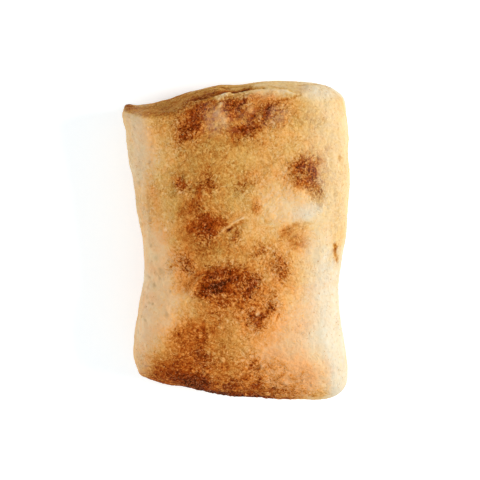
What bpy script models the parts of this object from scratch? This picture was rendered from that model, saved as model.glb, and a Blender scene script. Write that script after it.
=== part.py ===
"""Sourdough ciabatta: a small flat loaf of baked dough, in one piece.

The loaf lies on its base as it was baked. X runs across it, Y along it and Z up, in metres, with the
origin under the middle of the loaf. The far end (+Y) is where the dough was cut: a steep wall under a
rim, with a lap of dough across its right half. The other sides are the rounded skin of the dough.

The form is written as functions that say how far a point is outside the dough. A box with an even
grid of faces is then drawn in to the surface that they describe.
"""

import math

import bmesh
import bpy
import numpy as np
from mathutils import Vector, noise

# Driving dimensions
CROWN_HEIGHT = 0.0465  # the middle of the top crust above the base
WIDEST_HEIGHT = 0.0170  # the level at which the loaf is widest
SUNK_DEPTH = 0.0060  # how far the round of the underside would go on below the flat base
GRID_STEP = 0.0031  # the width of one face of the surface

# The outline at the widest level. Each side is a smooth curve through a few points, and the corners
# come from the squareness below.
LEFT_SIDE = ((-0.054, -0.0461), (-0.036, -0.0450), (-0.014, -0.0412), (0.016, -0.0434), (0.057, -0.0490))
RIGHT_SIDE = (
    (-0.060, 0.0496),
    (-0.040, 0.0466),
    (-0.021, 0.0438),
    (0.008, 0.0474),
    (0.028, 0.0482),
    (0.056, 0.0470),
)
NEAR_END = ((-0.046, -0.0592), (-0.027, -0.0627), (0.001, -0.0679), (0.036, -0.0703), (0.048, -0.0704))
FAR_END = (
    (-0.048, 0.0603),
    (-0.032, 0.0613),
    (-0.016, 0.0668),
    (-0.007, 0.0686),
    (-0.002, 0.0680),
    (0.008, 0.0697),
    (0.037, 0.0713),
    (0.046, 0.0690),
)

# The section through the loaf
SIDE_ROUNDNESS = 2.8  # 2 is an ellipse, and more is flatter on top with tighter shoulders
SQUARENESS_AT_WIDEST = 24.0, 12.0  # how square the left and the right corners are, seen from above
SQUARENESS_AT_CROWN = 3.3
SHELL_SCALE = 0.024  # turns the section's growth into metres
BASE_EDGE_RADIUS = 0.0030
FLAT_TOLERANCE = 0.00002  # points this close to the base lie in it

# The cut wall at the far end. The skin would go on past it by WALL_SPARE if the dough weren't cut.
WALL_SPARE = 0.0075
WALL_SPARE_FROM, WALL_SPARE_TO = -0.010, 0.046  # the spare length dies away towards the right corner
WALL_RIM_HEIGHT = 0.0430
WALL_RIM_SETBACK = ((-0.040, 0.0064), (-0.019, 0.0060), (-0.006, 0.0030), (0.004, 0.0018), (0.036, 0.0028))
WALL_FOOT_LEAN = math.radians(22)  # below the widest level the wall tucks in again
WALL_RIM_RADIUS = 0.0014, 0.0075  # the rim is sharp at the left corner and round at the right
WALL_RIM_SPAN = 0.040  # the radius changes over this much on each side of the middle
WALL_FOOT_RADIUS = 0.0060  # what the left corner's upright edge grows to at the base

# The lap of dough across the right half of the wall, which ends in a ledge under the rim
LAP_LEDGE_HEIGHT = 0.0300
LAP_LEDGE_RISE = 0.12  # how fast the ledge climbs towards the right
LAP_LEDGE_EDGE = 0.0024  # the height that its edge is rounded over
LAP_START, LAP_FULL = -0.0035, -0.0005
LAP_FADING, LAP_END = 0.0200, 0.0340

# The near left corner, where the dough was trimmed
TRIM_FROM = Vector((-0.0461, -0.0520))
TRIM_TO = Vector((-0.0416, -0.0600))
TRIM_RADIUS = 0.0016

# The swells of the top crust, and its hollows: x, y, reach and height
SWELLS = {
    "rim": (-0.010, 0.050, 0.016, 0.0022),
    "rim behind the lap": (0.014, 0.051, 0.011, 0.0016),
    "right blister": (0.029, 0.026, 0.010, 0.0017),
    "left blister": (-0.016, 0.008, 0.010, 0.0015),
    "great blister": (-0.009, -0.017, 0.011, 0.0024),
    "tail of the great blister": (0.007, -0.030, 0.009, 0.0014),
    "middle blister": (0.016, -0.012, 0.009, 0.0012),
    "near left shoulder": (-0.026, -0.042, 0.012, 0.0014),
    "near right shoulder": (0.030, -0.052, 0.014, 0.0010),
    "hollow behind the rim": (0.006, 0.032, 0.013, -0.0013),
    "hollow in the middle": (0.022, 0.008, 0.010, -0.0011),
    "hollow on the left": (-0.030, 0.030, 0.012, -0.0008),
    "hollow by the great blister": (-0.024, -0.010, 0.008, -0.0010),
    "hollow at the near end": (0.008, -0.047, 0.010, -0.0009),
}
CROWN_TILT = 0.022, 0.012  # the slope of the crown towards +X and +Y

# The slow rise and fall of the whole skin, which dies away towards the base
UNEVEN_HEIGHT = 0.0008
UNEVEN_SIZE = 0.013
UNEVEN_SEED = Vector((4.0, 1.5, 7.0))
UNEVEN_FROM_HEIGHT = 0.010

CRUST_COLOUR = (0.62, 0.34, 0.13, 1.0)


def smooth_curve(points, at):
    """The values at these places of a smooth curve through the points, flat beyond its ends."""
    knots = np.array(points)
    places, values = knots[:, 0], knots[:, 1]
    slopes = np.gradient(values, places)
    slopes[[0, -1]] = 0.0
    at = np.clip(at, places[0], places[-1])
    i = np.clip(np.searchsorted(places, at) - 1, 0, len(places) - 2)
    width = places[i + 1] - places[i]
    t = (at - places[i]) / width
    start = values[i] * (1 + 2 * t) * (1 - t) ** 2 + slopes[i] * width * t * (1 - t) ** 2
    end = values[i + 1] * t**2 * (3 - 2 * t) + slopes[i + 1] * width * t**2 * (t - 1)
    return start + end


def smooth_step(low, high, at):
    """0 at low, 1 at high, with a smooth rise between them. High may be the smaller one."""
    share = np.clip((at - low) / (high - low), 0.0, 1.0)
    return share * share * (3 - 2 * share)


def blend(a, b, share):
    """From a at a share of 0 to b at a share of 1."""
    return a + (b - a) * share


def rounded_max(a, b, radius):
    """The larger of two distances, with the edge between the two surfaces rounded."""
    share = np.clip(0.5 + 0.5 * (a - b) / radius, 0.0, 1.0)
    return blend(b, a, share) + radius * share * (1 - share)


def crown_height(x, y):
    """The height of the top crust's dome over a place on the base, with its swells."""
    height = CROWN_HEIGHT + CROWN_TILT[0] * x + CROWN_TILT[1] * y
    for centre_x, centre_y, reach, rise in SWELLS.values():
        away = ((x - centre_x) ** 2 + (y - centre_y) ** 2) / reach**2
        height = height + rise * np.exp(-away)
    return height


def skin(x, y, z):
    """How far a point is outside the dough's rounded skin."""
    left, right = smooth_curve(LEFT_SIDE, y), smooth_curve(RIGHT_SIDE, y)
    spare = WALL_SPARE * smooth_step(WALL_SPARE_TO, WALL_SPARE_FROM, x)
    near, far = smooth_curve(NEAR_END, x), smooth_curve(FAR_END, x) + spare
    across = (2 * x - left - right) / (right - left)
    along = (2 * y - near - far) / (far - near)
    above = (z - WIDEST_HEIGHT) / (crown_height(x, y) - WIDEST_HEIGHT)
    below = (WIDEST_HEIGHT - z) / (WIDEST_HEIGHT + SUNK_DEPTH)
    level = np.where(z > WIDEST_HEIGHT, above, below)
    squareness_at_widest = np.where(across < 0, *SQUARENESS_AT_WIDEST)
    squareness = blend(squareness_at_widest, SQUARENESS_AT_CROWN, np.clip(level, 0, 1))
    plan = (np.abs(across) ** squareness + np.abs(along) ** squareness) ** (1 / squareness)
    section = (plan**SIDE_ROUNDNESS + level**SIDE_ROUNDNESS) ** (1 / SIDE_ROUNDNESS)
    return (section - 1) * SHELL_SCALE


def wall(x, y, z):
    """How far a point is outside the cut wall at the far end, with the lap of dough across it."""
    rise = z - WIDEST_HEIGHT
    setback = smooth_curve(WALL_RIM_SETBACK, x)
    leaning = setback * rise / (WALL_RIM_HEIGHT - WIDEST_HEIGHT)
    ledge = LAP_LEDGE_HEIGHT + LAP_LEDGE_RISE * x
    stepped = setback * smooth_step(ledge - LAP_LEDGE_EDGE / 2, ledge + LAP_LEDGE_EDGE / 2, z)
    lapped = smooth_step(LAP_START, LAP_FULL, x) * smooth_step(LAP_END, LAP_FADING, x)
    tucked = -math.tan(WALL_FOOT_LEAN) * rise
    return y - smooth_curve(FAR_END, x) + np.where(rise > 0, blend(leaning, stepped, lapped), tucked)


def trim(x, y):
    """How far a point is outside the flat that trims the near left corner."""
    run = (TRIM_TO - TRIM_FROM).normalized()
    return run.y * (x - TRIM_FROM.x) - run.x * (y - TRIM_FROM.y)


def loaf(x, y, z):
    """How far a point is outside the loaf. It is negative inside."""
    sharp, blunt = WALL_RIM_RADIUS
    rim_radius = blend(sharp, blunt, smooth_step(-WALL_RIM_SPAN, WALL_RIM_SPAN, x))
    rim_radius = rim_radius + (WALL_FOOT_RADIUS - sharp) * smooth_step(WIDEST_HEIGHT, 0.0, z)
    distance = rounded_max(skin(x, y, z), wall(x, y, z), rim_radius)
    distance = rounded_max(distance, trim(x, y), TRIM_RADIUS)
    return rounded_max(distance, -z, BASE_EDGE_RADIUS)


def block(size):
    """A box with an even grid of faces of about GRID_STEP, as a bmesh."""
    mesh = bmesh.new()
    bmesh.ops.create_cube(mesh, size=1.0)
    for axis, length in enumerate(size):
        along = [e for e in mesh.edges if abs((e.verts[0].co - e.verts[1].co)[axis]) > 0.5]
        cuts = max(1, round(length / GRID_STEP) - 1)
        bmesh.ops.subdivide_edges(mesh, edges=along, cuts=cuts, use_grid_fill=True)
    bmesh.ops.scale(mesh, vec=size, verts=mesh.verts)
    return mesh


def drawn_in(points, centre):
    """Each point moved along the line to the centre until it lies on the loaf's surface."""
    out = points - centre
    inside, outside = np.full(len(points), 0.2), np.full(len(points), 1.6)
    for _ in range(40):
        middle = (inside + outside) / 2
        is_outside = loaf(*(centre + out * middle[:, None]).T) > 0
        outside = np.where(is_outside, middle, outside)
        inside = np.where(is_outside, inside, middle)
    return centre + out * inside[:, None]


def place_at(mesh, points):
    """Moves each corner of the mesh to its point."""
    for vert, point in zip(mesh.verts, points):
        vert.co = point
    mesh.normal_update()


def make_uneven(mesh):
    """Lets the skin rise and fall along its normals, and keeps the base flat."""
    points = np.array([v.co for v in mesh.verts])
    normals = np.array([v.normal for v in mesh.verts])
    lumps = np.array([noise.noise(v.co / UNEVEN_SIZE + UNEVEN_SEED) for v in mesh.verts])
    rise = UNEVEN_HEIGHT * lumps * smooth_step(0.0, UNEVEN_FROM_HEIGHT, points[:, 2])
    points += normals * rise[:, None]
    points[:, 2] = np.where(points[:, 2] < FLAT_TOLERANCE, 0.0, points[:, 2])
    place_at(mesh, points)


def centre_over_origin(mesh):
    """Slides the loaf until the middle of its outline is over the origin."""
    points = np.array([v.co for v in mesh.verts])
    points[:, :2] -= (points[:, :2].max(0) + points[:, :2].min(0)) / 2
    place_at(mesh, points)


def ciabatta():
    """The loaf as one closed mesh."""
    width = max(x for _, x in RIGHT_SIDE) - min(x for _, x in LEFT_SIDE)
    length = max(y for _, y in FAR_END) - min(y for _, y in NEAR_END)
    mesh = block((width, length, CROWN_HEIGHT))
    centre = np.array((0.0, 0.0, WIDEST_HEIGHT))
    place_at(mesh, drawn_in(np.array([v.co for v in mesh.verts]) + centre, centre))
    bmesh.ops.recalc_face_normals(mesh, faces=mesh.faces)
    make_uneven(mesh)
    centre_over_origin(mesh)
    data = bpy.data.meshes.new("ciabatta")
    mesh.to_mesh(data)
    mesh.free()
    data.shade_smooth()
    return bpy.data.objects.new("ciabatta", data)


def crust():
    """The material of the baked crust: matt and golden brown."""
    material = bpy.data.materials.new("crust")
    material.use_nodes = True
    shader = material.node_tree.nodes["Principled BSDF"]
    shader.inputs["Base Color"].default_value = CRUST_COLOUR
    shader.inputs["Roughness"].default_value = 0.78
    shader.inputs["Metallic"].default_value = 0.0
    return material


def main():
    for old in list(bpy.data.objects):
        bpy.data.objects.remove(old)
    piece = ciabatta()
    piece.data.materials.append(crust())
    bpy.context.scene.collection.objects.link(piece)


main()
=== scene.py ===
# %% [markdown]
# # A sourdough ciabatta
# A small flat loaf: a thin blistered crust, scorched in patches where it stood closest to the oven
# roof, with floury pale sides and one steep cut end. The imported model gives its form. This script
# dresses that form with relief and colour, and sets up the light and the camera.

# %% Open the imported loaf
import bmesh
import bpy
import math
import numpy as np
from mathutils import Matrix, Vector, noise


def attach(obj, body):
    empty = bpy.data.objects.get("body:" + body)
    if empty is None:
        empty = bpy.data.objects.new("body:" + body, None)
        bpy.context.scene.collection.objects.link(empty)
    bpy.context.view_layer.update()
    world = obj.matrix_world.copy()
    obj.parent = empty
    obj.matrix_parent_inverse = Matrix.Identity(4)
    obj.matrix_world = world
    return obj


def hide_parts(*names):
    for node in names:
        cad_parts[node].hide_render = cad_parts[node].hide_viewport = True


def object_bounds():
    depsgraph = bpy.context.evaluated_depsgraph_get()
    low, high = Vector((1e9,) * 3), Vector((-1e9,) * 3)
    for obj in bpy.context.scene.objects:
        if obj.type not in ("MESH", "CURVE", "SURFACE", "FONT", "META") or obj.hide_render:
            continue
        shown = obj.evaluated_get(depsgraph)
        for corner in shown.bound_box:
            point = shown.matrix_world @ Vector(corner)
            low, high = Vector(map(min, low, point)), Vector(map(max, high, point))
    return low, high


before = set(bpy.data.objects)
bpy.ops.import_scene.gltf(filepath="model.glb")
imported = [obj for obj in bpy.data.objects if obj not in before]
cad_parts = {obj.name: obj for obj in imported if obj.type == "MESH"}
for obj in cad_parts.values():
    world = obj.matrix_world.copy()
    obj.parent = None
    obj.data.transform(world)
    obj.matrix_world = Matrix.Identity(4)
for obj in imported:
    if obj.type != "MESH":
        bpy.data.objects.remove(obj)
cad_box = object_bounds()
plain_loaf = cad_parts["ciabatta"]
MM = 0.001
print("loaf in mm:", [round((high - low) / MM, 1) for low, high in zip(*cad_box)])

# %% [markdown]
# ## The camera
# The loaf is seen almost straight down, leaning a little towards its cut end so that a strip of that
# wall shows. A long lens from half a metre keeps the sides from spreading.

# %% Camera
LENS = 85
VIEW_LEAN = math.radians(8)
VIEW_DISTANCE = 0.496
view_centre = Vector((0.00085, 0.0010, 0.017))


def new_object(name, data):
    """Puts a new object with the given mesh, lamp or camera into the scene."""
    obj = bpy.data.objects.new(name, data)
    bpy.context.scene.collection.objects.link(obj)
    return obj


eye = new_object("camera", bpy.data.cameras.new("camera"))
eye.data.lens = LENS
eye.location = view_centre + VIEW_DISTANCE * Vector((0, math.sin(VIEW_LEAN), math.cos(VIEW_LEAN)))
eye.rotation_euler = (-VIEW_LEAN, 0, 0)
bpy.context.scene.camera = eye
print("camera at", [round(c, 3) for c in eye.location], "m, lens", LENS, "mm")

# %% [markdown]
# ## Light and floor
# Bread looks best under one wide soft light from the side, with brightness all round, so that the
# crust shows its relief and no side goes black. Here a large area light stands to the right, a weaker
# one lies to the left, and a bright pale world fills the rest. The floor is nearly white and glows a
# little, which keeps it even right up to the foot of the loaf.

# %% Floor
FLOOR_HALF = 3
FLOOR_COLOUR = (0.875, 0.92, 0.95, 1)
FLOOR_GLOW_COLOUR = (0.93, 0.98, 1, 1)
FLOOR_GLOW = 0.415

corners = [(x * FLOOR_HALF, y * FLOOR_HALF, 0) for x, y in ((-1, -1), (1, -1), (1, 1), (-1, 1))]
floor_mesh = bpy.data.meshes.new("floor")
floor_mesh.from_pydata(corners, [], [(0, 1, 2, 3)])
floor = new_object("floor", floor_mesh)
white_paint = bpy.data.materials.new("white_paint")
white_paint.use_nodes = True
paint = white_paint.node_tree.nodes["Principled BSDF"]
paint.inputs["Base Color"].default_value = FLOOR_COLOUR
paint.inputs["Roughness"].default_value = 0.9
paint.inputs["Emission Color"].default_value = FLOOR_GLOW_COLOUR
paint.inputs["Emission Strength"].default_value = FLOOR_GLOW
floor_mesh.materials.append(white_paint)
print("floor", 2 * FLOOR_HALF, "m wide, glow", FLOOR_GLOW)

# %% Lights
WORLD_COLOUR = (0.99, 0.995, 1.0, 1)
WORLD_STRENGTH = 0.50
AIM_HEIGHT = 0.02


def soft_light(name, direction, distance, size, power, tint):
    """Hangs a square area light out along a direction, facing the loaf."""
    lamp = new_object(name, bpy.data.lights.new(name, "AREA"))
    lamp.data.size, lamp.data.energy, lamp.data.color = size, power, tint
    way = Vector(direction).normalized()
    lamp.location = way * distance + Vector((0, 0, AIM_HEIGHT))
    lamp.rotation_euler = way.to_track_quat("Z", "Y").to_euler()
    print(name, "light,", power, "W,", distance, "m away")


soft_light("key", (0.78, 0.10, 0.62), 0.9, 0.30, 5.7, (1.0, 0.985, 0.96))
soft_light("fill", (-0.85, -0.20, 0.50), 1.1, 0.5, 3.2, (1.0, 0.99, 0.98))

world = bpy.data.worlds.new("studio")
bpy.context.scene.world = world
world.use_nodes = True
world.node_tree.nodes["Background"].inputs["Color"].default_value = WORLD_COLOUR
world.node_tree.nodes["Background"].inputs["Strength"].default_value = WORLD_STRENGTH
bpy.context.scene.view_settings.view_transform = "Standard"

# %% [markdown]
# ## A fine skin over the plain loaf
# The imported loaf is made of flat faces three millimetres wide, too coarse for blisters. Its faces
# are joined into quads and subdivided until they are smooth. That smooth form is then remeshed into
# small even cells, because relief needs vertices that lie closer together than its own bumps, and
# laid back on the smooth form. The underside and the foot of the sides carry little relief, so they
# are thinned out afterwards and the cells are kept for the top.

# %% Smooth copy
SAME_POINT = 1e-6
JOIN_ANGLE = math.radians(60)


def as_mesh(obj, name):
    """Gives the mesh that an object shows with all its modifiers, as a plain new mesh."""
    seen = obj.evaluated_get(bpy.context.evaluated_depsgraph_get())
    mesh = bpy.data.meshes.new_from_object(seen)
    mesh.name = name
    return mesh


form = bmesh.new()
form.from_mesh(plain_loaf.data)
bmesh.ops.remove_doubles(form, verts=form.verts, dist=SAME_POINT)
bmesh.ops.join_triangles(form, faces=form.faces, angle_face_threshold=JOIN_ANGLE,
                         angle_shape_threshold=JOIN_ANGLE)
smooth_form = new_object("smooth_form", bpy.data.meshes.new("smooth_form"))
form.to_mesh(smooth_form.data)
form.free()
smoother = smooth_form.modifiers.new("smooth", "SUBSURF")
smoother.levels = smoother.render_levels = 2
smooth_mesh = as_mesh(smooth_form, "smooth_form")
smooth_form.modifiers.clear()
smooth_form.data = smooth_mesh
print("smooth form:", len(smooth_mesh.polygons), "faces")

# %% Even cells
CELL = 0.50 * MM

skin = new_object("skin", smooth_mesh.copy())
cells = skin.modifiers.new("cells", "REMESH")
cells.mode, cells.voxel_size = "VOXEL", CELL
laid = skin.modifiers.new("laid", "SHRINKWRAP")
laid.target, laid.wrap_method = smooth_form, "NEAREST_SURFACEPOINT"
evened = skin.modifiers.new("evened", "SMOOTH")
evened.factor, evened.iterations = 0.5, 4
fine_mesh = as_mesh(skin, "skin")
skin.modifiers.clear()
skin.data = fine_mesh
print("even cells:", len(fine_mesh.polygons), "faces")

# %% Thin out the foot
MOST_FACES = 190_000
FOOT_LOW, FOOT_HIGH = 8, 26  # mm: thinned fully below the first, and not at all above the second
FOOT_STEPS = 5


def positions_of(mesh):
    """Gives the points of a mesh, one row of x, y and z each."""
    numbers = np.empty(len(mesh.vertices) * 3)
    mesh.vertices.foreach_get("co", numbers)
    return numbers.reshape(-1, 3)


def smooth_step(values, low, high):
    """Goes smoothly from 0 at low to 1 at high."""
    share = np.clip((values - low) / (high - low), 0, 1)
    return share * share * (3 - 2 * share)


foot = skin.vertex_groups.new(name="foot")
thinned = 1 - smooth_step(positions_of(fine_mesh)[:, 2] / MM, FOOT_LOW, FOOT_HIGH)
for step in range(1, FOOT_STEPS + 1):
    chosen = np.flatnonzero(np.round(thinned * FOOT_STEPS) == step).tolist()
    foot.add(chosen, step / FOOT_STEPS, "REPLACE")
thin = skin.modifiers.new("thin", "DECIMATE")
thin.ratio = MOST_FACES / (2 * len(fine_mesh.polygons))
thin.vertex_group, thin.vertex_group_factor = "foot", 4.0
skin_mesh = as_mesh(skin, "skin")
skin.modifiers.clear()
skin.vertex_groups.clear()
skin.data = skin_mesh
print("thinned:", len(skin_mesh.vertices), "vertices,", len(skin_mesh.polygons), "faces")

# %% [markdown]
# ## Where the crust is browned
# Sugar and starch in the skin brown first where the dough stands highest and thinnest, so a baked
# top is a map of its own lumps: pale at the flanks, amber over the middle, scorched on blisters and
# edges. The map is drawn as a baker would point at it: broad washes first, then each scorched patch
# with its place, its reach along and across, its turn and how much darker it is. The edges are
# ragged because the distances are measured from points shaken by noise.

# %% Points of the skin
def normals_of(mesh):
    """Gives the direction that each point of a mesh faces."""
    numbers = np.empty(len(mesh.vertices) * 3)
    mesh.vertices.foreach_get("normal", numbers)
    return numbers.reshape(-1, 3)


place = positions_of(skin_mesh) / MM
facing = normals_of(skin_mesh)
across, along, height = place.T


def shaken(length, shift):
    """Smooth noise at each point, from -1 to 1, with bumps of about the given length in mm."""
    return np.array([noise.noise(Vector(p) / length + Vector((shift, 0, 0))) for p in place])


print("highest point of the skin:", height.max().round(1), "mm")

# %% Broad washes
# The top's browning falls towards the right partly as painted light: the right side faces the light,
# so part of its paleness is painted into the colour.
TOP_WASH_X = (-46, -41, -34, -26, -18, -10, -2, 7, 15, 23, 31, 39, 48)
TOP_WASH = (0.08, 0.12, 0.25, 0.38, 0.45, 0.46, 0.43, 0.36, 0.29, 0.21, 0.15, 0.13, 0.11)
WASHES = {
    # name: (x, y, half length, half width, turn in degrees, strength)
    "pale bay on the left": (-37, -14, 26, 10, 84, -0.30),
    "pale bay, inner": (-23, -22, 9, 6, 60, -0.17),
    "pale left shoulder": (-40, 44, 15, 6, 90, -0.12),
    "near left corner": (-36, -55, 14, 10, 10, 0.20),
    "near end": (-4, -66, 22, 5, -5, 0.12),
    "near right, golden flecks": (22, -49, 14, 9, 0, -0.13),
    "east of the knot": (14, -32, 14, 11, 0, -0.09),
    "beyond the left streak": (-31, 41, 8, 9, 0, -0.07),
    "near left flank": (-38, -50, 8, 10, 0, 0.09),
    "under the middle left": (-15, 4, 6, 5, 0, 0.12),
    "south of the blister": (3, -20, 6, 4, 0, -0.09),
    "round the left pair": (-22, -6, 5, 6, 0, -0.08),
    "middle, right of the tear": (8, 10, 6, 8, 80, -0.10),
    "beside the tear": (-1, 6, 5, 4, 0, -0.05),
    "right flank, middle": (43, -4, 18, 6, 90, 0.12),
    "right flank, far": (44, 24, 22, 5, 90, 0.08),
    "inside the right flank": (26, -7, 9, 7, 80, 0.08),
    "over the blister": (-5, -4.4, 6, 3.4, 10, -0.07),
    "right flank, inner": (36, -14, 8, 4, 80, 0.07),
    "beside the left pair": (-26, -3, 5, 4, 0, -0.06),
    "east of the near column": (13, -25, 5, 4, 0, -0.05),
    "left flank, far": (-35, 15, 8, 6, 90, 0.05),
    "left flank, far end": (-36, 46, 8, 6, 90, 0.06),
    "near left, wide": (-32, -48, 9, 10, 0, 0.06),
    "ochre by the column": (-6, -36, 7, 5, 0, 0.06),
    "bank by the blister": (-24, -25, 5, 5, 0, 0.09),
    "far rim, pale": (16, 66, 16, 3.4, 0, -0.10),
    "pale bay, flank": (-35, -23, 13, 6, 90, -0.19),
    "near right, golden": (24, -38, 12, 10, 0, -0.06),
    "near middle, ochre dark": (-8, -50, 7, 4, 0, 0.05),
    "below the knot": (0, -34, 5, 4, 0, -0.05),
    "round spot, all": (27, 33, 7, 6, 80, 0.01),
    "near right edge": (36, -50, 7, 14, 0, -0.08),
    "near right, golden rim": (20, -64, 14, 5, 0, 0.06),
    "right of the arm": (12, -8, 5, 5, 0, -0.08),
    "east of the blister": (7, -17, 9, 7, 0, 0.10),
    "left bank": (-22, 6, 6, 8, 0, 0.02),
    "left bank, near": (-24, -24, 9, 6, 40, -0.08),
    "far right, pinkish": (25, 56, 8, 6, 0, 0.12),
    "far middle, pinkish": (-9, 55, 5, 6, 0, -0.04),
    "far right, film": (15.5, 57, 4, 4, 0, -0.05),
    "near middle, ochre": (-10, -48, 9, 6, 20, 0.05),
    "near middle, right": (9, -45, 8, 5, 0, -0.08),
    "floury hollow": (25, 18, 10, 6, 10, -0.15),
    "far right": (14, 24, 8, 9, 0, -0.12),
    "middle, pale": (1, 20, 17, 8, 85, -0.06),
    "far right, golden": (35, 42, 22, 10, 88, 0.10),
    "right of the middle": (12, 0, 11, 9, 0, -0.02),
    "far left": (-27, 53, 12, 7, 0, 0.02),
    "far end, left wing": (-30, 56, 10, 4, 10, 0.06),
    "left golden band": (-35, 19, 9, 3.4, 90, 0.05),
    "ochre floor of the near half": (-5, -33, 13, 10, 0, 0.02),
    "middle, ochre": (-2, 2, 12, 5, 0, 0.04),
}
print(len(WASHES), "washes")


# %% Lay the washes
def patch(x, y, half_length, half_width, turn, strength, points, softness):
    """How much one patch counts at each point: full inside, fading to nothing past its edge."""
    cos, sin = math.cos(math.radians(turn)), math.sin(math.radians(turn))
    off_x, off_y = points[0] - x, points[1] - y
    lengthwise = (off_x * cos + off_y * sin) / half_length
    sideways = (off_y * cos - off_x * sin) / half_width
    out = np.sqrt(lengthwise ** 2 + sideways ** 2)
    return strength * (1 - smooth_step(out, 1 - softness, 1 + softness))


WASH_SOFTNESS = 0.75
wander = np.array([shaken(9, 3.1), shaken(9, 17.7)]) * 3
drift = np.array([across, along]) + wander
browned = np.interp(drift[0], TOP_WASH_X, TOP_WASH) - 0.03 * smooth_step(-along, -10, 10)
for wash in WASHES.values():
    browned += patch(*wash, drift, WASH_SOFTNESS)

# The top gives way to the sides at an uneven height. The near end, the single blisters and the
# single pores reach lower down than the rest.
uneven = height + 3 * shaken(12, 23.4) + shaken(4, 61.2)
on_top = smooth_step(uneven, 22, 38)
near_wall = smooth_step(uneven, 8, 24)
print("browned by the washes:", browned.min().round(2), "to", browned.max().round(2))

# %% [markdown]
# ## Scorched patches
# Where gas lifted the skin into a blister, it dried out and scorched. Each scorch is listed by
# itself, because their places and shapes are what tells this loaf from any other. Their edges are
# sharper and more ragged than those of the washes. The skin round a strong scorch is toasted a shade
# darker, and it is crackled too, also where it stayed light.

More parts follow.
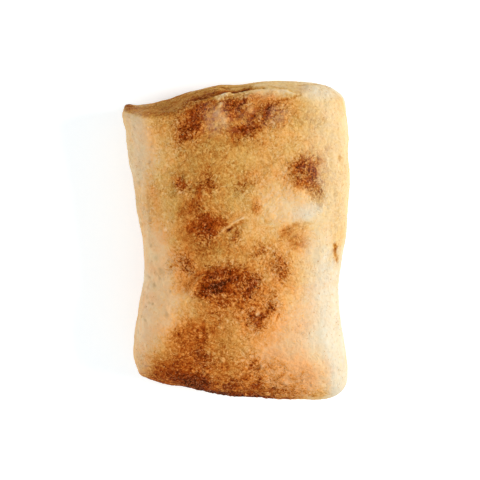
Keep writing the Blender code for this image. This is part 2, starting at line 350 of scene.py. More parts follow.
# %% Scorched patches
SCORCHES = {
    # name: (x, y, half length, half width, turn in degrees, strength)
    "far left, long": (-19.6, 52.8, 9.4, 3.8, 58, 0.20),
    "far left, core": (-18.8, 54, 5, 2.2, 66, 0.09),
    "far left, low": (-17.4, 50.8, 3, 1.4, 10, 0.12),
    "far left, end": (-23, 47.6, 2.6, 1.8, 40, 0.08),
    "far left, rim": (-11.6, 60.6, 5.6, 2.0, 10, 0.16),
    "far middle": (-3.2, 61.4, 2.6, 1.9, 20, 0.26),
    "far middle, east": (1.6, 61.8, 2.8, 1.6, 40, 0.26),
    "far middle, net": (0, 57.6, 5.4, 3, -20, 0.11),
    "far left, apron": (-13, 54, 4, 5, 0, 0.08),
    "far right, foot": (2.2, 50.2, 2.9, 2.0, 10, 0.26),
    "far right, low": (6.6, 48.6, 2.2, 1.2, -20, 0.14),
    "far right, upper": (12.2, 58.4, 3.2, 2.2, 60, 0.20),
    "far right, all": (8.4, 54.8, 6.6, 4.6, 52, 0.11),
    "far right, fringe": (15.6, 56, 4.6, 4.2, 80, 0.16),
    "far end, ochre": (-2.6, 50.4, 2.6, 1.6, 0, 0.16),
    "far end, ochre low": (0, 47.4, 5, 2.4, 50, 0.10),
    "far end, orange rim": (12, 62.6, 10, 1.4, 2, 0.08),
    "right round": (27, 33.2, 6.4, 5.0, 70, 0.25),
    "right round, core": (25.6, 35.6, 3.4, 1.7, 62, 0.14),
    "right round, side": (30.8, 33.2, 2.6, 1.3, -50, 0.20),
    "right round, foot": (26, 28.6, 2.6, 2.0, 20, 0.10),
    "right round, tail": (32, 24.6, 6.4, 2.8, -62, 0.22),
    "right round, fringe": (34.4, 31, 8, 3.2, 85, 0.08),
    "right round, speck": (33.4, 37.6, 1.8, 1.2, 0, 0.12),
    "far right speck": (37.4, 42, 2.4, 1.6, 60, 0.12),
    "left speck": (-23.4, 28, 3.2, 1.7, -52, 0.24),
    "left streak, specks": (-11, 27.6, 2.6, 1.8, 60, 0.18),
    "left streak, west": (-15.6, 25.6, 3.0, 2.0, 60, 0.16),
    "left streak, far": (-13.4, 31, 4.0, 2.4, 60, 0.10),
    "left streak, lower": (-16.6, 19.6, 4, 2.8, 62, 0.14),
    "left streak, foot": (-22.2, 17.4, 3.4, 2.6, 30, 0.15),
    "middle left": (-12.8, 11.4, 8, 4.4, 12, 0.14),
    "middle left, core": (-13, 12.0, 4.4, 2.4, -60, 0.22),
    "middle left, wing": (-7.6, 12.6, 3.4, 2.0, -30, 0.14),
    "middle left, low": (-10.6, 8.6, 2.2, 1.2, -10, 0.18),
    "middle left, west": (-19.6, 9.4, 2.4, 1.8, 40, 0.11),
    "middle left, apron": (-22, 7.4, 5, 3, 10, 0.07),
    "beside the tear, speck": (-0.6, 7.0, 2.7, 1.5, 86, 0.20),
    "golden speck": (7.4, 19, 3.6, 1.8, 90, 0.14),
    "golden speck, far": (2.2, 27.4, 3, 2.6, 0, 0.16),
    "middle right": (24, 6.2, 6.0, 4.6, -50, 0.12),
    "middle right, edge": (25.4, 11, 5.4, 1.5, 8, 0.14),
    "middle right, west": (19.4, 8.2, 2.6, 1.8, 60, 0.12),
    "middle right, tip": (24.4, 3.8, 3.4, 2.4, -50, 0.12),
    "small brown": (9.4, 0.6, 2.8, 1.5, 26, 0.20),
    "left pair, outer": (-27.6, -6.4, 2.0, 1.4, 35, 0.28),
    "left pair, inner": (-21.5, -5.8, 3.0, 1.9, -80, 0.20),
    "left pair, dot": (-24.4, -4.2, 1.0, 0.7, 20, 0.30),
    "left orange": (-22, -14.8, 3.6, 2.6, 30, 0.04),
    "great blister": (-6.8, -12.8, 11, 6.4, 22, 0.19),
    "great blister, crown": (-8.4, -8.8, 6.2, 1.9, 10, 0.22),
    "great blister, shoulder": (-14.6, -11.6, 4.2, 1.6, 42, 0.09),
    "great blister, core": (-10.4, -15.4, 6.4, 2.8, 16, 0.26),
    "great blister, west": (-15, -16, 4.0, 2.4, 50, 0.06),
    "right of the blister": (1, -12.6, 4, 7, 0, 0.05),
    "below the blister": (-2, -18.8, 7, 3, 0, 0.13),
    "below the blister, specks": (-6.4, -21.8, 3.2, 1.4, -10, 0.14),
    "below the blister, east": (1.4, -22, 2.4, 1.6, 20, 0.14),
    "dark drop": (5.6, -14.4, 4.6, 1.7, 66, 0.36),
    "right arm": (17.8, -6.2, 4.4, 2.2, -76, 0.22),
    "right arm, ends": (17.4, -7, 7.6, 3.0, -72, 0.10),
    "amber bridge": (11.4, -7.4, 5, 2.6, 20, 0.08),
    "lower knot": (8.0, -28.0, 3.8, 2.6, -75, 0.31),
    "lower knot, all": (6.8, -26.6, 6.2, 5, -30, 0.15),
    "lower knot, tail": (8.4, -32, 2.6, 1.4, 85, 0.16),
    "lower knot, east": (10.8, -26.6, 1.4, 1.0, 80, 0.20),
    "lower right speck": (13.4, -24.2, 2.8, 1.9, 48, 0.26),
    "left column": (-20.6, -38.6, 10, 7.8, 84, 0.15),
    "left column, far edge": (-24.6, -34.4, 3.0, 2.4, 40, 0.07),
    "left column, east": (-15, -37, 6, 1.8, 88, 0.04),
    "left column, thin": (-9.8, -32.6, 3.4, 1.2, 80, 0.14),
    "left column, low": (-15.4, -46.4, 5, 3, -70, 0.16),
    "near left, band": (-26, -50.6, 7.4, 3.4, 4, 0.12),
    "near left corner, edge": (-35, -54.2, 4.4, 1.4, 88, 0.14),
    "near left corner": (-31, -54.6, 4.4, 3.4, 0, 0.12),
    "near end, darkest": (-19.4, -57.2, 8.0, 4.2, -12, 0.34),
    "near end, rim left": (-12, -65, 12, 3.0, -10, 0.30),
    "near end, red": (-3.4, -59.4, 3.4, 2.0, 20, 0.20),
    "near end, red east": (1.4, -57.6, 2.4, 1.4, 0, 0.12),
    "near end, rim right": (0, -66.6, 14, 3.0, -6, 0.36),
    "near end, east": (7.6, -58.6, 3.0, 1.8, 60, 0.20),
    "near end, knot": (10.4, -67.6, 5, 1.6, -10, 0.18),
    "near end, speck": (22, -67.4, 3.2, 1.6, 0, 0.18),
    "near right corner": (35, -64.6, 3.0, 3.2, 70, 0.16),
    "near middle": (7.2, -49.4, 3.4, 1.9, -70, 0.24),
    "near middle, left": (3.2, -54.6, 2.6, 1.4, 30, 0.18),
    "near middle, right": (10, -54.4, 2.2, 1.2, 70, 0.14),
    "near right, specks": (18.4, -53.6, 3.0, 1.6, 40, 0.12),
    "near right, far speck": (26.4, -55.2, 2.4, 1.6, 70, 0.12),
    "near right, orange": (15, -48.6, 4.4, 2.4, 0, 0.08),
    "near right, column": (9.6, -58, 5, 1.8, 86, 0.12),
    "near right, foot": (15, -61.5, 3.2, 1.6, 0, 0.14),
    "near right, fleck 1": (18.5, -54.8, 2.2, 1.2, 80, 0.14),
    "near right, fleck 2": (23.4, -55, 2.8, 1.7, 60, 0.12),
    "near right, fleck 3": (26.4, -58.6, 3.0, 1.4, 30, 0.14),
    "near right, fleck 4": (21.6, -62.4, 3.4, 1.3, 10, 0.13),
    "near right, fleck 5": (28, -62.6, 2.6, 1.2, -20, 0.13),
    "near right, fleck 6": (33, -65, 2.0, 1.4, 0, 0.14),
    "near right, amber": (17, -49, 4.4, 2.6, 0, 0.10),
    "near right, amber east": (29.4, -52.4, 3.4, 2.4, 0, 0.09),
    "right flank streak": (41.6, -2.6, 4.8, 1.5, -80, 0.30),
    "right flank speck": (42.6, -32, 3.2, 1.4, 80, 0.30),
    "right flank dot": (42.6, 38, 1.6, 0.8, -70, 0.22),
}
print(len(SCORCHES), "scorched patches")

# %% Lay the scorches
SCORCH_SOFTNESS = 0.42
NEAR_END_Y = -55


def reach_down(y):
    """Where a scorch at y counts: only on the top, but at the near end over the rim as well."""
    return near_wall if y < NEAR_END_Y else on_top


ragged = np.array([shaken(3.4, 41.3) + 0.5 * shaken(1.5, 8.8),
                   shaken(3.2, 59.9) + 0.5 * shaken(1.5, 28.4)])
torn_points = np.array([across, along]) + ragged
for scorch in SCORCHES.values():
    browned += patch(*scorch, torn_points, SCORCH_SOFTNESS) * reach_down(scorch[1])
print("with the scorches:", browned.min().round(2), "to", browned.max().round(2))

# %% Skin round the scorches
STRONG, FLANK_X = 0.16, 40
MOST_TOASTED = 0.10
DARK_FROM, DARK_SLOPE = 0.70, 0.7  # above the first, more browning counts less

strong = [scorch for scorch in SCORCHES.values() if scorch[5] >= STRONG and scorch[0] < FLANK_X]
toasted_round = np.zeros(len(place))
crackled = np.zeros(len(place))
for x, y, half_length, half_width, turn, strength in strong:
    toasted_round += patch(x, y, 1.8 * half_length + 2.5, 1.8 * half_width + 2.5, turn,
                           0.16 * strength, torn_points, 0.85)
    around = patch(x, y, half_length + 2, half_width + 2, turn, 4 * strength, torn_points, 0.4)
    crackled = np.maximum(crackled, around * reach_down(y))
toasted_round = np.minimum(toasted_round, MOST_TOASTED) * on_top
browned += toasted_round - 0.025 * on_top
browned = np.where(browned > DARK_FROM, DARK_FROM + (browned - DARK_FROM) * DARK_SLOPE, browned)
# The near right end is crackled all over.
crackled = np.maximum(crackled, patch(19, -58, 17, 9, -6, 1.0, drift, 0.5) * near_wall)
crackled = np.clip(crackled, 0, 1)
print(len(strong), "of them with toasted and crackled skin around")

# %% [markdown]
# ## Sides and underside
# The sides never see the oven roof. They stay pale, a little browner where they meet the oven floor
# and in drifts here and there, and the browned near end reaches down over its rim in an uneven line.
# The cut end is olive gold, painted darker towards its left, which stands in for the shade on that
# side, and the underside, which lay on the hot stone, is a plain golden brown.

# %% Sides
side_drifts = 0.17 + 0.16 * shaken(14, 77.0) + 0.09 * shaken(5, 12.0)
low_edge = 0.30 * (1 - smooth_step(height, 2, 13))
sides = side_drifts + low_edge

near_end = smooth_step(-along, 50, 58)
near_rim = smooth_step(-facing[:, 1], 0.35, 0.75) * near_wall * smooth_step(-across, -40, -12)
near_edge = (1 - smooth_step(uneven + 0.10 * across, 18, 28)) * smooth_step(uneven, 8, 18)
browned += (0.10 + 0.22 * near_edge) * near_rim * near_end * smooth_step(-across, -34, -14)
faded = (0.14 + 0.30 * shaken(6.5, 15.5)) * (1 - smooth_step(height, 16, 24))
browned -= faded * near_rim * near_end
upper = on_top + (near_wall - on_top) * near_end
browned += (sides - browned) * (1 - upper)
print("sides browned by", sides.min().round(2), "to", sides.max().round(2))

# %% Cut end and underside
cut_end = smooth_step(facing[:, 1], 0.35, 0.8) * smooth_step(along, 50, 58)
# Darker towards the left of the cut end: painted shade, as that side is turned from the light.
cut_tone_with_shade = np.clip(0.61 - 0.012 * (across + 20), 0.20, 0.56) + 0.08 * shaken(6, 5.0)
browned += (cut_tone_with_shade - browned) * cut_end * 0.9
under = smooth_step(-facing[:, 2], 0.5, 0.9)
under_tone = 0.47 + 0.10 * shaken(12, 90.0) + 0.05 * shaken(4, 33.0)
browned += (under_tone - browned) * under
browned = np.clip(browned, 0, 1)
print("browned:", browned.min().round(2), "to", browned.max().round(2))

# %% [markdown]
# ## Flour film
# The dough proves on flour, and some of it bakes on as a pale film. It lies along both flanks, on the
# far rim and in the hollow beside the round scorch, and thinly on the torn skin of the far end. On
# the right flank part of this paleness is painted light, as that side faces the light. It is held as
# one more value on the skin. The browned parts and the near end have little of it.

# %% Flour film
right_edge = smooth_step(drift[0], 32, 42) * smooth_step(-drift[1], -14, 28)
right_side = smooth_step(drift[0], 18, 38)
right_band = smooth_step(across, 18, 32) * smooth_step(-along, -12, 6) * smooth_step(along, -48, -36)
near_left = smooth_step(-along, 38, 50) * (1 - smooth_step(across, 32, 40))
left_side = smooth_step(-across, 33, 43)
far_rim = smooth_step(along, 61, 65) * smooth_step(across, -6, 10)
near_right = smooth_step(-along, 44, 58) * smooth_step(across, 0, 20) * (
    1 - smooth_step(across, 35, 43))

# The film on the right side is partly painted light, for the paleness of the lit flank.
flour = 0.45 * right_edge + (0.42 + 0.12 * on_top) * right_side + 0.26 * right_band
flour *= 1 - 0.95 * near_left
flour += 0.50 * left_side
flour -= patch(42, -2, 10, 4, 90, 0.24, drift, 0.6)
flour += patch(27.5, 16.4, 6, 3.2, 18, 0.5, torn_points, 0.7)
flour += patch(30.4, 15.8, 1.8, 1.0, 60, 0.35, torn_points, 0.5)
flour += 0.32 * far_rim
flour *= 1 - 0.5 * smooth_step(browned, 0.3, 0.6)
flour *= 1 - 0.9 * near_right
print("flour:", flour.min().round(2), "to", flour.max().round(2))

# %% Thin films of flour
FILMS = {
    # name: (x, y, half length, half width, turn in degrees, strength)
    "torn skin, left": (-9, 55, 6, 7, 0, 0.40),
    "torn skin, right": (15, 56.5, 5, 4.4, 0, 0.36),
    "torn skin, middle": (3, 57, 5, 4, 0, 0.18),
    "pale bay on the left": (-36, -20, 15, 5, 86, 0.25),
}
for film_patch in FILMS.values():
    flour += patch(*film_patch, drift, 0.7)
flour = np.clip(flour * (1 - under) + 0.35 * under, 0, 0.85)
print(len(FILMS), "thin films, flour", flour.min().round(2), "to", flour.max().round(2))

# %% [markdown]
# ## Porous flank
# The left flank shows small open pores where gas broke through the soft skin. The other sides have
# a few of them. Here only the zone is marked, and the relief sinks the pores later.

# %% Porous zone
left_flank = smooth_step(-across, 28, 36) * smooth_step(height, 12, 22)
porous_zone = left_flank * smooth_step(-along, -30, 0) * (1 - smooth_step(-along, 30, 46))
porous_zone += 0.25 * (1 - on_top) * (1 - under)
porous_zone = np.clip(porous_zone, 0, 1)
print("porous:", round(100 * (porous_zone > 0.5).mean()), "% of the skin's points")

# %% [markdown]
# ## Warm and olive zones
# Two spots of crust can be equally dark and still differ in hue, one orange and one nearly olive. So
# a second value, the warmth, is kept beside the browning. It is high round the scorches and over the
# near half, and low on the right flank and the cut end.

# %% Warm and olive zones
WARM = {
    # name: (x, y, half length, half width, turn in degrees, strength)
    "near half": (2, -44, 60, 34, 0, 0.50),
    "left column": (-21, -38, 10, 8, 84, 0.55),
    "near left": (-30, -53, 10, 6, 0, 0.40),
    "ochre floor of the near half": (-4, -36, 10, 9, 0, -0.35),
    "near right, orange": (19, -57, 18, 11, 0, 0.9),
    "near rim": (2, -66, 20, 5, 0, -0.8),
    "right rim": (46, 5, 64, 4, 90, -0.4),
    "middle, near the knot": (4, -26, 16, 14, 0, 0.40),
    "left bank": (-26, 6, 8, 10, 0, 0.30),
    "great blister": (-8, -11, 12, 6, 24, 0.45),
    "lower knot": (8, -27, 7, 5, -30, 0.40),
    "left pair": (-23, -8, 6, 8, 0, 0.75),
    "left speck": (-23.5, 28, 4, 3, -50, 0.60),
    "middle left": (-14, 11, 10, 6, 0, 0.45),
    "middle, mustard": (-2, 34, 12, 12, 60, -0.20),
    "golden speck": (8, 19.4, 4, 3, 90, 0.60),
    "right round": (27, 32, 9, 7, 80, 0.45),
    "right middle": (24, 5, 7, 6, 0, 0.55),
    "right arm": (17.5, -7, 7, 4, -75, 0.35),
    "far end": (2, 56, 20, 7, 0, 0.25),
    "far left": (-21, 53, 8, 6, 58, 0.60),
    "far rim": (12, 62.6, 12, 2.4, 2, 0.70),
    "left edge": (-38, 20, 52, 9, 90, 0.30),
    "left golden band": (-35, 19, 9, 3.4, 90, 0.30),
}
warm = 0.34 + 0.35 * shaken(9, 6.6) - 0.40 * smooth_step(across, 24, 38)
warm += 0.25 * smooth_step(across, 0, 8) * (1 - smooth_step(across, 16, 24))
for zone in WARM.values():
    warm += patch(*zone, drift, 0.6)
warm += 2.2 * (browned - 0.48).clip(0) + 3.0 * toasted_round - 0.5 * cut_end
warm = np.clip(warm - 0.06, 0, 1.5)
print(len(WARM), "zones, warmth", warm.min().round(2), "to", warm.max().round(2))

# %% [markdown]
# ## Level folds on the sides
# A wet dough spreads before its skin sets, so its sides sag in long level folds. They follow a rule,
# so they come from noise that is stretched: five times as long along the side as it is high. A slow
# swell of the dough lies under them. What stands out is paler and holds more flour.

# %% Level folds
FOLD_LENGTH, FOLD_HEIGHT = 17, 3.4

level_folds = np.array([noise.noise(Vector((x / FOLD_LENGTH, y / FOLD_LENGTH, z / FOLD_HEIGHT + 40)))
                        for x, y, z in place])
on_sides = (1 - on_top) * smooth_step(height, 1, 6) * (1 - under)
rise = 0.55 * level_folds * on_sides + 0.5 * shaken(13, 81.0) * on_sides
browned -= 0.18 * level_folds * on_sides * (1 - near_end)
flour += 0.25 * level_folds * on_sides * (1 - near_end)
print("sides move by", rise.min().round(2), "to", rise.max().round(2), "mm")

# %% [markdown]
# ## Tears and folds
# A few things on this loaf are too particular for a pattern: a small tear in the middle with a
# lifted lip, the pale curved edge of the great blister, and the folds where a lap of dough lies
# along the cut end. Each is a line through a few points. The vertices near it are moved along their
# normals, up for a lip and down for a crease. Lips are paler and floury. Creases and the slit of the
# tear are painted darker, which stands in for the shade in them, and the sheen across the great
# blister is a painted highlight. A point with two numbers is seen from above, and one with three lies
# on a wall.

# %% Lines on the skin
LINES = {
    # name: (points in mm, reach, rise, browning with painted shade and sheen, flour)
    "lip of the tear": ([(-6.4, 8.8), (-5.2, 10.2), (-2.6, 11.7), (0.2, 13.4), (2.0, 14.4)],
                        0.62, 0.8, -0.30, 0.3),
    # The slit of the tear is painted dark, as the shadow in it.
    "tear": ([(-4.8, 8.8), (-2.8, 10), (-0.8, 11.1), (1.1, 12.3)], 0.62, -0.9, 0.46, 0),
    "edge of the blister": ([(-19.6, -17.6), (-18.4, -14.4), (-16.4, -11.4), (-13.8, -9.4)],
                            0.7, 0.7, -0.14, 0.04),
    "outside the blister": ([(-21, -16), (-19.4, -12), (-16, -9.0), (-11, -6.2), (-5, -5)],
                            0.9, -0.5, 0.08, 0),
    "fold of the blister": ([(-11.4, -14), (-8.6, -13.4), (-5.4, -12.6), (-2.8, -11.2),
                             (-1, -10.2)], 0.9, -0.8, 0.26, 0),
    # Painted highlight: the sheen across the blister is painted as paler colour with a little flour.
    "painted sheen of the blister": ([(-11, -11.4), (-8, -10.8), (-4.6, -10)], 0.7, 0.4, -0.12, 0.10),
    "drop, crease": ([(9.8, -10.6), (7.6, -12.4), (6, -15), (4.8, -18.6)], 0.8, -0.5, 0.14, 0),
    "tick": ([(16.9, -26.2), (15.9, -29)], 0.42, -0.6, 0.42, 0),
    "far right, left limb": ([(3, 50), (4.6, 52.4), (5.8, 55.4), (8.6, 58.6)], 1.1, -0.3, 0.24, 0),
    "far right, right limb": ([(6.2, 51), (9.2, 52), (11, 55.6), (12.2, 59.6)], 1.2, -0.3, 0.24, 0),
    "far middle, fold": ([(-5.6, 58.4), (-2.6, 57.8), (0.6, 59.4), (2.2, 62.4)],
                         0.7, -0.4, 0.20, 0),
    "far middle, fold low": ([(-2, 55), (1, 56.4), (3.4, 58.4)], 0.6, -0.3, 0.16, 0),
    "far skin, fold 1": ([(-4.6, 61), (-0.5, 59.4), (2.1, 57.8)], 0.6, -0.4, 0.14, -0.1),
    "far skin, fold 2": ([(2.5, 62), (-0.5, 57.8), (-3.2, 55.8)], 0.6, -0.4, 0.14, -0.1),
    "far skin, fold 3": ([(-11.4, 59), (-14.2, 55.8), (-16.3, 51.8)], 0.6, -0.4, 0.08, 0),
    "far skin, pale fold": ([(-7.3, 61.6), (-8, 57.4), (-6, 54), (-4.6, 51.8)],
                            1.3, 0.3, -0.09, 0.08),
    "far skin, crack 1": ([(11.8, 59), (16.4, 61), (19.3, 61)], 0.5, -0.3, 0.18, -0.2),
    "far skin, crack 2": ([(16, 58.2), (20.1, 59)], 0.5, -0.3, 0.14, -0.2),
    "far skin, crack 3": ([(14, 55.6), (16.6, 57)], 0.5, -0.3, 0.14, -0.2),
    "far rim, orange line": ([(17.2, 62.3), (23.4, 63)], 0.8, -0.2, 0.16, -0.2),
    "far right, thread": ([(12.6, 60.4), (16, 61.6), (20, 62.4)], 0.7, -0.3, 0.16, -0.2),
    "left shoulder fold": ([(-38, 27), (-37.6, 20), (-36.8, 13), (-36.4, 8)], 0.7, -0.3, 0.08, 0),
    "left column, crease": ([(-14.4, -29.6), (-13.8, -34), (-14.6, -39)], 0.7, -0.4, 0.16, 0),
    "wrinkle, right": ([(9.4, 24.4), (10.6, 22.4), (12.8, 23.4), (14.2, 26)],
                       0.6, 0.4, -0.10, 0.15),
    "wrinkle, right low": ([(8.6, 20.8), (10.6, 19.4), (12.4, 20.6)], 0.6, 0.4, -0.10, 0.15),
    "wrinkle, far": ([(6.4, 37.4), (9, 38.6), (11.4, 37.2)], 0.6, 0.4, -0.10, 0.1),
    "right flank crease": ([(40.9, 1.6), (41.4, -2), (42.6, -5.6)], 0.8, -0.5, 0.14, -0.6),
    "lap, crease": ([(-17, 62.4, 38), (-11.5, 63.8, 38.2), (-7, 64.8, 37), (-2.5, 65.6, 34.4),
                     (3, 66.3, 32.3), (10.5, 67.2, 33.2)], 1.0, -0.8, 0.30, -0.4),
    "lap, lip left": ([(-9.4, 63.4, 39.9), (-5.7, 64.2, 39), (-2.4, 64.6, 37.3)],
                      0.9, 0.6, -0.22, 0.3),
    "lap, lip": ([(0.8, 65, 35.8), (9.9, 65.8, 36.4), (19.4, 65.8, 36.7), (22.2, 64.6, 38.1)],
                 1.2, 0.6, -0.14, 0.12),
    "lap, crinkle": ([(13, 67.9, 32.3), (15.5, 67.4, 33.4), (19.5, 67, 34.3)],
                     0.6, -0.3, 0.20, -0.2),
    "lap, crinkle right": ([(20, 64.6, 38.2), (23.5, 63.8, 38.6), (26, 64.4, 37.6)],
                           0.6, -0.3, 0.18, -0.2),
    "lap, crinkle far right": ([(21.5, 66.6, 35.4), (23, 65.2, 37.2), (25.6, 65.4, 36.6)],
                               0.6, -0.3, 0.16, -0.2),
    "lap, edge right": ([(25.9, 68.6, 31.5), (30.1, 68.6, 29.4), (33.9, 68.6, 23.2)],
                        0.8, -0.3, 0.24, -0.2),
    "far left corner": ([(-48, 57, 10), (-47.6, 55.6, 27)], 4.0, 1.3, 0, 0),
    "far left corner, knob": ([(-47.6, 59, 18.5), (-46, 60, 22)], 1.5, 0.1, 0.24, -0.2),
    "lap, second fold": ([(-10, 67.4, 25), (-3.4, 67.2, 25), (3, 68, 28), (6, 68.4, 29)],
                         0.8, -0.5, 0.20, 0),
    "lap, lower lip": ([(-3, 68, 28.6), (4, 68.8, 30), (12, 69, 32.6), (20, 68.6, 34.2)],
                       1.2, 0.4, -0.06, 0.4),
    "notch, shade": ([(-5, 66, 35), (1, 66.8, 31), (5, 67, 31.6)], 1.8, 0, 0.16, -0.3),
    "notch, fold": ([(-1.2, 65.4, 42.5), (-1.8, 66.2, 37), (-3.2, 66.8, 31), (-6.5, 67.6, 25)],
                    1.0, -1.0, 0.20, 0),
    "notch, left lip": ([(-8, 62.6, 41.4), (-5.4, 64.4, 38.6), (-2.6, 65.6, 34.6)],
                        0.8, 0.6, -0.16, 0.3),
    "wall, upper fold": ([(-30, 60.4, 30), (-22, 62.6, 33), (-14, 65, 34)], 1.2, -0.4, 0.08, 0),
    "wall, brown band": ([(-20, 62.6, 36.4), (-10, 64.8, 36), (-3, 66, 33.6), (4, 66.8, 31)],
                         2.0, -0.3, 0.26, -0.2),
    "wall, thin line": ([(-26, 62, 30), (-17, 64.8, 31.4), (-9, 66.4, 31), (-4, 67, 30)],
                        0.6, -0.4, 0.18, 0),
    "wall, floury seam": ([(-20, 65.6, 23), (-13, 67.6, 23.5), (-7, 68.4, 24)],
                          1.2, 0.4, -0.14, 0.4),
}
print(len(LINES), "lines")


# %% Move the skin along the lines
def distance_to_line(points, corners):
    """Shortest distance from each point to a line through the corners."""
    nearest = np.full(len(points), 1e9)
    for start, end in zip(np.array(corners[:-1]), np.array(corners[1:])):
        step = end - start
        share = np.clip((points - start) @ step / (step @ step), 0, 1)
        nearest = np.minimum(nearest, np.linalg.norm(points - start - share[:, None] * step, axis=1))
    return nearest


broken = np.clip(0.5 + 1.2 * shaken(2.6, 71.0), 0, 1)
for corners, reach, lift, darker, floury in LINES.values():
    from_above = len(corners[0]) == 2
    seen = place[:, :2] + 0.4 * ragged.T if from_above else place + 0.7 * ragged[0][:, None]
    near = np.exp(-(distance_to_line(seen, corners) / reach) ** 2) * (on_top if from_above else 1)
    near *= 0.6 + 0.6 * broken
    rise += lift * near
    # In creases this darkening is painted shade, and on the sheen of the blister it is a painted
    # highlight.
    browned += darker * near
    flour += floury * near
print("the skin moves by", rise.min().round(2), "to", rise.max().round(2), "mm")

# %% [markdown]
# ## Single blisters and pores
# The larger blisters of the top stand out by themselves, with pale crowns, and so do the larger
# pores of the left flank. They are round, so a place and a reach say all. A blister is a low dome, and
# its paler crown is partly pale tight skin and partly a painted highlight. A pore is a shallow dent,
# and its own value paints shade into it later.

# %% Blisters and pores
BLISTERS = (
    # x, y and reach in mm, and how much paler the crown is, partly as a painted highlight
    (-13.6, 24.6, 1.3, 0.24), (-10, -18, 0.9, 0.40), (-11.7, -17, 0.8, 0.30),
    (-5.8, -17.8, 1.3, 0.60), (8.4, -25.6, 1.4, 0.75), (6.3, -23.2, 1.1, 0.55),
    (2, -25.4, 1.3, 0.45), (4.8, -29.2, 1.0, 0.30), (-15.8, -36, 0.9, 0.30),
    (-12, -36.4, 1.0, 0.20), (-7, -32.4, 1.0, 0.24), (-6.2, -46.8, 1.5, 0.26),
    (-13, -52.2, 0.9, 0.20), (9.8, -50.6, 0.9, 0.24), (-7.2, 60.4, 1.4, 0.30),
    (-5.4, 54.4, 1.5, 0.20), (5.4, 57.8, 1.6, 0.22), (8.7, 55.4, 1.2, 0.24),
    (26, 31.4, 1.3, 0.22), (-30, 9, 1.2, 0.20), (-17.8, 16.4, 0.9, 0.20),
    (13, -64, 1.1, 0.30), (16.4, -65, 0.8, 0.24), (3.4, -64.4, 0.9, 0.30),
    (12, -18.4, 0.9, 0.16), (20.4, 3, 0.8, 0.16), (10.4, -49.8, 1.2, 0.30),
    (12.6, -52.6, 1.0, 0.26), (20.6, -57.6, 1.2, 0.24), (25.8, -56.4, 1.0, 0.25),
    (32, -58.4, 1.0, 0.20), (17.6, -59.6, 1.2, 0.24), (30.4, -60.6, 0.9, 0.20),
    (24.4, -60.6, 1.0, 0.24),
)
PORES = (
    # x, y and reach in mm, seen from above on the left flank
    (-42, 27.6, 1.3), (-41.4, 9.6, 1.2), (-36.6, 1.4, 1.1), (-34.6, -4, 1.3), (-32.4, -9.2, 1.9),
    (-34.4, -10.6, 1.2), (-33, -12.4, 1.1), (-35.6, -15.6, 1.5), (-37.6, -12.8, 0.9),
    (-39, -21.2, 1.3), (-38, -23.4, 1.0), (-30.4, -27.4, 1.5), (-36.4, -5.8, 0.8), (-37, 36.6, 1.0),
    (-33.2, -38.6, 0.9), (-39.6, -31, 0.8), (-28.6, -17.4, 0.8), (-35.8, 43.4, 0.8),
)
print(len(BLISTERS), "blisters and", len(PORES), "pores")

# %% Raise the blisters and sink the pores
DOME_RISE, PORE_DENT = 0.50, 0.25

pits = np.zeros(len(place))
for x, y, reach, paler in BLISTERS:
    out = np.hypot(across + 0.6 * ragged[0] - x, along + 0.6 * ragged[1] - y) / reach
    crown = np.clip(1 - out ** 2, 0, 1) * near_wall
    rise += DOME_RISE * reach * crown
    # The paler crown is partly pale skin and partly a painted highlight.
    browned -= paler * crown
    flour += 0.4 * paler * crown
for x, y, reach in PORES:
    out = np.hypot(across + 0.35 * ragged[0] - x, along + 0.35 * ragged[1] - y) / reach
    hole = np.clip(1.2 - 1.2 * out, 0, 1) * near_wall
    rise -= PORE_DENT * hole
    # The pore is also kept as a value, so that the material paints shade into it.
    pits = np.maximum(pits, hole)
browned, flour = np.clip(browned, 0, 1), np.clip(flour, 0, 1)
print("the skin moves by", rise.min().round(2), "to", rise.max().round(2), "mm")

# %% [markdown]
# ## The skin takes its values
# Everything found so far now goes on the mesh. The points move, and the values become attributes,
# which both the relief and the material can read. The skin starts a little inside the plain loaf, to
# leave room for the relief. The near end bulges out a little further than the plain loaf does. One
# more value holds the relief back on the lower sides, and keeps it off the foot.

# %% Give the skin its values
INSET = 0.18
NEAR_BULGE = 0.9

rise += NEAR_BULGE * smooth_step(-facing[:, 1], 0.2, 0.7) * smooth_step(-along, 50, 56) * \
    smooth_step(-across, -12, 2) * smooth_step(height, 3, 9)
place += facing * (rise - INSET)[:, None]
skin_mesh.vertices.foreach_set("co", (place * MM).ravel())
free = smooth_step(height, 0.3, 3.0) * (0.45 + 0.55 * smooth_step(height, 20, 36))
skin_values = {"browned": browned, "flour": flour, "warm": warm, "porous": porous_zone,
               "crackled": crackled, "spots": pits, "free": free}
for name, values in skin_values.items():
    layer = skin_mesh.attributes.new(name, "FLOAT", "POINT")
    layer.data.foreach_set("value", values.astype(np.float32))
skin_mesh.update()
print("values on the skin:", ", ".join(skin_values))

# %% [markdown]
# ## Relief of the crust
# The skin of a well risen dough is covered with blisters, small and close where it scorched, over
# long shallow wrinkles. They follow the surface and repeat all over it, which is what Geometry Nodes
# are good at: each point is moved along its normal by a sum of patterns, weighted by the values
# that the skin carries. The result is turned into a plain mesh.

# %% Node helpers
def node(tree, kind, inputs=None, **settings):
    """Adds a node, sets it up and fills its inputs with values or with other nodes' outputs."""
    made = tree.nodes.new(kind)
    for key, value in settings.items():
        setattr(made, key, value)
    for key, value in (inputs or {}).items():
        if isinstance(value, bpy.types.NodeSocket):
            tree.links.new(value, made.inputs[key])
        else:
            made.inputs[key].default_value = value
    return made


def sums(tree, operation, first, second=None, third=None, clamp=False):
    """One step of arithmetic: gives the output of a Math node."""
    given = {i: v for i, v in enumerate((first, second, third)) if v is not None}
    return node(tree, "ShaderNodeMath", given, operation=operation, use_clamp=clamp).outputs[0]


